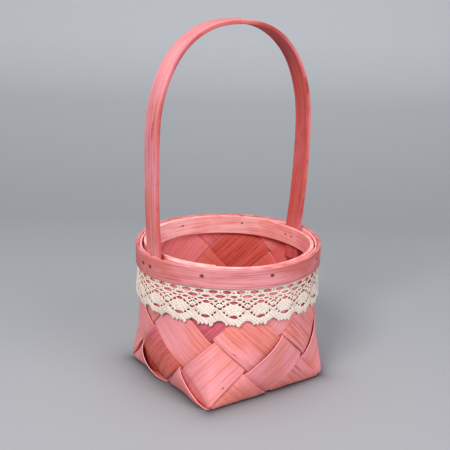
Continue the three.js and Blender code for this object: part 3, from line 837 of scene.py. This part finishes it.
# Each hole: place in periods, height, half width, half height, slope and arch. Holes off the middle are
# mirrored to its other side.
LACE_HOLES = [
    (0.25, 92.9, 3.5, 1.35, 0, 0), (0.0, 92.4, 0.7, 0.5, 0, 0), (0.5, 92.4, 0.7, 0.5, 0, 0),
    (0.5, 89.6, 3.9, 1.25, 0, 0), (0.0, 89.5, 3.0, 1.0, 0, 0), (0.25, 90.4, 0.7, 0.5, 0, 0),
    (0.21, 87.35, 2.4, 0.65, 0, 0), (0.37, 86.0, 1.3, 0.8, 0.15, 0), (0.0, 87.4, 1.4, 0.4, 0, 0),
    (0.455, 84.5, 0.8, 0.7, 0, 0), (0.5, 87.0, 0.8, 0.4, 0, 0), (0.42, 87.6, 0.5, 0.35, 0, 0),
    (0.0, 85.2, 2.8, 1.2, 0, 0), (0.205, 83.8, 1.3, 1.0, -0.3, 0), (0.335, 82.0, 1.2, 1.0, -0.4, 0),
    (0.5, 80.0, 2.1, 0.85, 0, 0.13), (0.35, 77.3, 0.95, 0.9, 0.4, 0), (0.245, 75.4, 0.95, 0.85, 0.3, 0),
    (0.0, 74.1, 3.6, 1.3, 0, 0), (0.40, 83.6, 0.6, 0.5, 0, 0),
]

# Each nub: place in periods from the middle of a scallop, depth, and half width in periods.
NUBS = ((-0.24, 0.85, 0.06), (-0.10, 0.9, 0.06), (0.04, 0.8, 0.056), (0.195, 1.3, 0.08))


def lace_outline(x):
    """Height of the free edge: scallops with rounded nubs on them."""
    s = (x / LACE_PERIOD + 0.5) % 1 - 0.5
    belly = smooth_ramp(0.5 - np.abs(s), 0.0, 0.26)
    drop = np.zeros_like(s)
    for place, depth, wide in NUBS:
        drop = np.maximum(drop, depth * np.sqrt(np.clip(1 - ((s - place) / wide) ** 2, 0, 1)))
    return LACE_VALLEY - SCALLOP_DEPTH * belly - NUB_DEPTH * drop


def lace_period():
    """Grid places of one period with the signed distance to the nearest edge of the cloth."""
    steps = int(round(LACE_PERIOD / LACE_GRID))
    x = (np.arange(steps) / steps - 0.5) * LACE_PERIOD
    z = np.arange(LACE_VALLEY - 5.0, LACE_TOP + 0.01, LACE_GRID)
    z[-1] = LACE_TOP
    grid_x, grid_z = np.meshgrid(x, z, indexing="ij")
    borders = []
    in_hole = np.zeros(grid_x.shape, bool)
    turn = np.linspace(-1, 1, 40)
    for place, height, wide, tall, slope, arch in LACE_HOLES:
        for middle, way in {(place, 1), (-place, -1)} if place else {(0, 1)}:
            for period in (-1, 0, 1):
                centre = (middle + period) * LACE_PERIOD
                if abs(centre) > LACE_PERIOD * 0.75:
                    continue
                right = grid_x - centre
                rise = slope * way * right + arch * right ** 2
                share = np.clip(1 - (right / wide) ** 2, 0, 1)
                in_hole |= (np.abs(right) < wide) & (np.abs(grid_z - height - rise) < tall * share ** 0.85)
                edge_x = turn * wide
                edge_rise = slope * way * edge_x + arch * edge_x ** 2
                edge = tall * (1 - turn ** 2) ** 0.85
                for up in (-1, 1):
                    borders.append(np.stack([centre + edge_x, height + edge_rise + up * edge], -1))
    line = np.linspace(-0.75, 0.75, 420) * LACE_PERIOD
    borders.append(np.stack([line, lace_outline(line)], -1))
    borders = np.concatenate(borders)
    flat = np.stack([grid_x.ravel(), grid_z.ravel()], -1)
    distance = np.array([np.sqrt(((borders - p) ** 2).sum(1).min()) for p in flat]).reshape(grid_x.shape)
    outside = in_hole | (grid_z < lace_outline(grid_x))
    field = np.where(outside, -distance, distance)
    return z, np.maximum(field, np.where(outside, -9, 0.03))


def lace_surface(x, z):
    """Outermost points of the wall behind the lace, with their outward directions."""
    degrees = x / LACE_PERIOD * 360 / LACE_SCALLOPS
    u = (degrees / 45 + 5) % 8
    v = (-ROW_RISE + np.sqrt(ROW_RISE ** 2 + 4 * ROW_RISE_GROWTH * (z - BASE_LEVEL))) / (2 * ROW_RISE_GROWTH)
    side = np.floor(u / 2).astype(int)
    plan = surface_point(side, u, v)[..., :2]
    return np.hypot(plan[..., 0], plan[..., 1]), directions(degrees)


def lace_cells(first, last):
    """The flat cloth from column first to column last, without its holes: places with their distance to
    the nearest edge, and faces."""
    z_line, field = lace_period()
    columns = np.arange(first, last + 1)
    grid = field[columns % len(field)]
    x_line = columns * LACE_GRID_X
    keys, places, cells = {}, [], []

    def node(i, j):
        key = (i, j)
        if key not in keys:
            keys[key] = len(places)
            places.append((x_line[i], z_line[j], max(grid[i, j], 0.0)))
        return keys[key]

    def cut(i, j, k, l):
        key = (i, j, k, l) if (i, j) < (k, l) else (k, l, i, j)
        if key not in keys:
            a, b = grid[key[0], key[1]], grid[key[2], key[3]]
            share = min(max(a / (a - b), 0.08), 0.92)
            keys[key] = len(places)
            x = x_line[key[0]] + (x_line[key[2]] - x_line[key[0]]) * share
            z = z_line[key[1]] + (z_line[key[3]] - z_line[key[1]]) * share
            places.append((x, z, 0.0))
        return keys[key]

    solid = grid > 0
    for i in range(len(columns) - 1):
        for j in range(len(z_line) - 1):
            corners = ((i, j), (i + 1, j), (i + 1, j + 1), (i, j + 1))
            filled = [solid[c] for c in corners]
            if not any(filled):
                continue
            if all(filled):
                cells.append([node(*c) for c in corners])
                continue
            face = []
            for k in range(4):
                here, there = corners[k], corners[(k + 1) % 4]
                if filled[k]:
                    face.append(node(*here))
                if filled[k] != filled[(k + 1) % 4]:
                    face.append(cut(*here, *there))
            cells.append(face)
    return np.array(places), cells


def lace_strip(name, first, last, material):
    """A closed piece of the strip from column first to column last, hung round the wall."""
    flat, cells = lace_cells(first, last)
    x, z, distance = flat.T
    sway = 0.16 * wobble(x, 61, 47, 3) * smooth_ramp(LACE_TOP - z, 0, 12)
    hang_z = z + sway + 0.12 * wobble(x + 3 * z, 67, 9, 3) * smooth_ramp(LACE_TOP - z, 0, 6)
    hang_x = x + 0.22 * wobble(x * 0.6 + z, 71, 15, 3)
    radius, out = lace_surface(hang_x, hang_z)
    loose = smooth_ramp(LACE_TOP - z, 2, 24)
    flutter = (LACE_FLARE + 0.30 * wobble(x, 73, 31, 3) + 0.12 * wobble(x + z, 79, 7, 3)) * loose
    lapped = smooth_ramp(x, LACE_END - LACE_LAP_RUN * 1.5, LACE_END - LACE_LAP_RUN)
    thick = LACE_HALF_THICK * (0.3 + 0.7 * np.sqrt(1 - (1 - np.clip(distance / 0.5, 0, 1)) ** 2))
    aside = np.abs((x / LACE_PERIOD + 0.5) % 1 - 0.5) * LACE_PERIOD
    diamond = aside / DIAMOND_HALF_WIDTH + np.abs(z - DIAMOND_Z) / DIAMOND_HALF_HEIGHT
    relief = 0.10 * smooth_ramp(1.1 - diamond, 0, 0.2) + 0.04 * wobble(x * 1.3 + z * 2, 83, 3.1, 3)
    middle = radius + LACE_GAP + LACE_HALF_THICK + flutter + LACE_LAP_LIFT * lapped
    count = len(flat)
    points = []
    for turn in (1, -1):
        reach = middle + turn * thick + (relief * np.clip(distance, 0, 1) if turn > 0 else 0)
        points.append(np.stack([out[:, 0] * reach, out[:, 1] * reach, hang_z], -1))
    edges = {}
    for face in cells:
        for a, b in zip(face, face[1:] + face[:1]):
            if (b, a) in edges:
                del edges[(b, a)]
            else:
                edges[(a, b)] = True
    faces = cells + [[k + count for k in face[::-1]] for face in cells]
    faces += [(b, a, a + count, b + count) for a, b in edges]
    piece = new_object(name, np.concatenate(points), faces, material)
    mesh = piece.data
    values = {
        "cord": np.tile(distance, 2),
        "cloth": np.tile(smooth_ramp(1.05 - diamond, 0, 0.15), 2),
        "lace_x": np.tile(x, 2),
        "lace_z": np.tile(z, 2),
    }
    for key, numbers in values.items():
        mesh.attributes.new(key, "FLOAT", "POINT").data.foreach_set("value", numbers.astype(np.float32))
    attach(piece, "root")
    return piece


def lace_material():
    """Cream cotton: threads that follow the holes, and plain weave in the diamonds, with painted shade
    between the threads and in the weave's pores.
    """
    material, tree, shader = new_material("lace_cotton")
    noise, ranged, mixed, maths, attribute = node_kit(tree)
    x, z, cord = attribute("lace_x"), attribute("lace_z"), attribute("cord")
    weave = []
    for slope in (0.8, -0.8):
        run = maths("ADD", maths("MULTIPLY", x, 0.7), maths("MULTIPLY", z, slope))
        weave.append(maths("ABSOLUTE", maths("SINE", maths("MULTIPLY", run, math.pi / 2.0))))
    pores = ranged(maths("MAXIMUM", weave[0], weave[1]), 0.75, 0.35)
    threads = maths("ABSOLUTE", maths("SINE", maths("MULTIPLY", cord, math.pi / 0.7)))
    slant = maths("ADD", maths("ADD", x, z), maths("MULTIPLY", cord, 2.0))
    plies = maths("SINE", maths("MULTIPLY", slant, 11.0))
    threads = maths("ADD", maths("MULTIPLY", threads, 0.8), maths("MULTIPLY", plies, 0.1))
    cloth = maths("MAXIMUM", attribute("cloth"), maths("MULTIPLY", ranged(cord, 0.9, 1.3), 0.55))
    place = add_node(tree, "ShaderNodeTexCoord").outputs["Object"]
    fuzz = noise(place, 2600.0, 4.0, 0.65)
    patch = noise(place, 90.0, 2.0, 0.5)
    woven = maths("MULTIPLY", maths("SUBTRACT", 1.0, pores), cloth)
    twisted = maths("MULTIPLY", threads, maths("SUBTRACT", 1.0, cloth))
    height = maths("ADD", woven, twisted)
    cream = mixed(ranged(patch, 0.35, 0.65), (0.92, 0.76, 0.655), (0.97, 0.84, 0.745))
    # painted shade in the valleys between the threads and in the weave's pores
    base = mixed(ranged(height, 0.55, 0.0, 0.0, 0.85), cream, (0.44, 0.28, 0.22))
    base = mixed(maths("MULTIPLY", cloth, ranged(pores, 0.0, 1.0, 0.3, 0.95)), base, (0.40, 0.30, 0.25))
    base = mixed(ranged(fuzz, 0.55, 0.75, 0.0, 0.3), base, (0.98, 0.94, 0.87))
    link(tree, base, shader.inputs["Base Color"])
    set_inputs(shader, {"Roughness": 0.95, "Specular IOR Level": 0.1, "Sheen Weight": 0.15})
    set_inputs(shader, {"Subsurface Weight": 0.05, "Subsurface Radius": (0.001, 0.0008, 0.0006)})
    add_bump(tree, shader, maths("ADD", height, maths("MULTIPLY", fuzz, 0.35)), 0.8, 0.25 * MM)
    return material


COTTON = lace_material()
LACE_COLUMNS = LACE_END_COLUMN - LACE_START_COLUMN
stops = [LACE_START_COLUMN + LACE_COLUMNS * k // 3 for k in range(4)]
lace = [lace_strip(f"lace_strip_{k + 1}", stops[k], stops[k + 1], COTTON) for k in range(3)]
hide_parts("lace_trim")

# ---- stage, in metres ----

CAMERA_TURN = -36.6  # the camera looks along +Y turned by this angle about Z, in degrees
CAMERA_BACK = 657.75 * MM
CAMERA_HEIGHT = 322.78 * MM
CAMERA_PITCH = 0.296
CAMERA_YAW = -0.005
CAMERA_ROLL = 0.025
CAMERA_LENS = 69.88

FOOT_SHADE = 8 * MM  # how far the painted shadow on the floor round the basket's foot reaches
FLOOR_REACH = 7.0  # how far the floor runs to each side and in front
BACKDROP_DISTANCE = 2.2
BACKDROP_HEIGHT = 3.0
SWEEP_RADIUS = 0.8
SWEEP_STEPS = 12


def floor_material():
    """Plain pale paper, a little darker where the floor runs back to the backdrop, with a painted shadow
    close round the basket's foot."""
    material, tree, shader = new_material("floor")
    shader.inputs["Roughness"].default_value = 0.8
    noise, ranged, mixed, maths, _ = node_kit(tree)
    place = add_node(tree, "ShaderNodeTexCoord").outputs["Object"]
    parts = split(tree, place)
    near = mixed(ranged(parts["Y"], 0.0, 0.6), (0.32, 0.325, 0.345), (0.265, 0.28, 0.30))
    far = mixed(ranged(parts["Y"], 0.42, 1.8, kind="LINEAR"), near, (0.70, 0.715, 0.74))
    speck = noise(place, 900.0, 2.0, 0.5)
    far = mixed(ranged(speck, 0.4, 0.6, 0.0, 0.05), far, (0.42, 0.42, 0.43))
    aside = ranged(maths("ABSOLUTE", parts["X"]), 1.1, 2.6)
    behind = ranged(parts["Y"], -0.9, -2.4)
    wide = mixed(maths("MAXIMUM", aside, behind), far, (0.85, 0.865, 0.89))
    # painted shadow: the floor is darker the closer it lies to the basket's foot
    spot = split(tree, add_node(tree, "ShaderNodeNewGeometry").outputs["Position"])
    squares = []
    for axis in ("X", "Y"):
        past = maths("SUBTRACT", maths("ABSOLUTE", spot[axis]), BASE_HALF_SIDE * MM)
        past = maths("MAXIMUM", past, 0.0)
        squares.append(maths("MULTIPLY", past, past))
    away = maths("SQRT", maths("ADD", squares[0], squares[1]))
    painted_foot_shadow = maths("EXPONENT", maths("MULTIPLY", away, -1 / FOOT_SHADE))
    shaded = mixed(maths("MULTIPLY", painted_foot_shadow, 0.82), wide, (0.03, 0.027, 0.03))
    link(tree, shaded, shader.inputs["Base Color"])
    return material


def build_stage():
    """A floor that sweeps up into a backdrop behind the basket, seen from the camera."""
    sweep_start = BACKDROP_DISTANCE - SWEEP_RADIUS
    profile = [(-FLOOR_REACH, 0.0), (sweep_start, 0.0)]
    for k in range(1, SWEEP_STEPS + 1):
        angle = k / SWEEP_STEPS * math.pi / 2
        profile.append((sweep_start + SWEEP_RADIUS * math.sin(angle), SWEEP_RADIUS * (1 - math.cos(angle))))
    profile.append((BACKDROP_DISTANCE, BACKDROP_HEIGHT))
    points = []
    faces = []
    for k, (depth, height) in enumerate(profile):
        points += [(-FLOOR_REACH, depth, height), (FLOOR_REACH, depth, height)]
        if k:
            faces.append((2 * k - 2, 2 * k - 1, 2 * k + 1, 2 * k))
    floor = new_object("floor", np.array(points) / MM, faces, floor_material())
    floor.rotation_euler = (0, 0, math.radians(CAMERA_TURN))


def build_camera():
    data = bpy.data.cameras.new("camera")
    data.lens = CAMERA_LENS
    data.sensor_width = 36
    camera = bpy.data.objects.new("camera", data)
    bpy.context.scene.collection.objects.link(camera)
    forward = Vector((
        math.sin(CAMERA_YAW) * math.cos(CAMERA_PITCH),
        math.cos(CAMERA_YAW) * math.cos(CAMERA_PITCH),
        -math.sin(CAMERA_PITCH),
    ))
    right = forward.cross(Vector((0, 0, 1))).normalized()
    up = right.cross(forward)
    level_right = right * math.cos(CAMERA_ROLL) + up * math.sin(CAMERA_ROLL)
    level_up = up * math.cos(CAMERA_ROLL) - right * math.sin(CAMERA_ROLL)
    turn = Matrix.Rotation(math.radians(CAMERA_TURN), 4, "Z")
    axes = Matrix((level_right, level_up, -forward)).transposed().to_4x4()
    camera.matrix_world = turn @ Matrix.Translation((0, -CAMERA_BACK, CAMERA_HEIGHT)) @ axes
    bpy.context.scene.camera = camera


def area_light(name, place, target, size, power, colour):
    data = bpy.data.lights.new(name, "AREA")
    data.shape = "DISK"
    data.size = size
    data.energy = power
    data.color = colour
    light = bpy.data.objects.new(name, data)
    bpy.context.scene.collection.objects.link(light)
    turn = Matrix.Rotation(math.radians(CAMERA_TURN), 4, "Z")
    place = turn @ Vector(place)
    light.location = place
    light.rotation_euler = (turn @ Vector(target) - place).to_track_quat("-Z", "Y").to_euler()


def build_light():
    area_light("key", (-0.55, -1.15, 1.35), (0, 0, 0.12), 0.7, 27, (1.0, 0.985, 0.96))
    area_light("fill", (1.15, -1.0, 0.8), (0, 0, 0.1), 1.2, 13, (0.98, 0.98, 1.0))
    area_light("top", (0.0, 0.1, 1.9), (0, 0, 0.0), 1.4, 14, (1.0, 1.0, 1.0))
    world = bpy.data.worlds.new("world")
    world.use_nodes = True
    set_inputs(world.node_tree.nodes["Background"], {"Color": (0.88, 0.92, 1.0, 1), "Strength": 0.30})
    bpy.context.scene.world = world


build_camera()
build_stage()
build_light()
bpy.context.scene.view_settings.view_transform = "Standard"
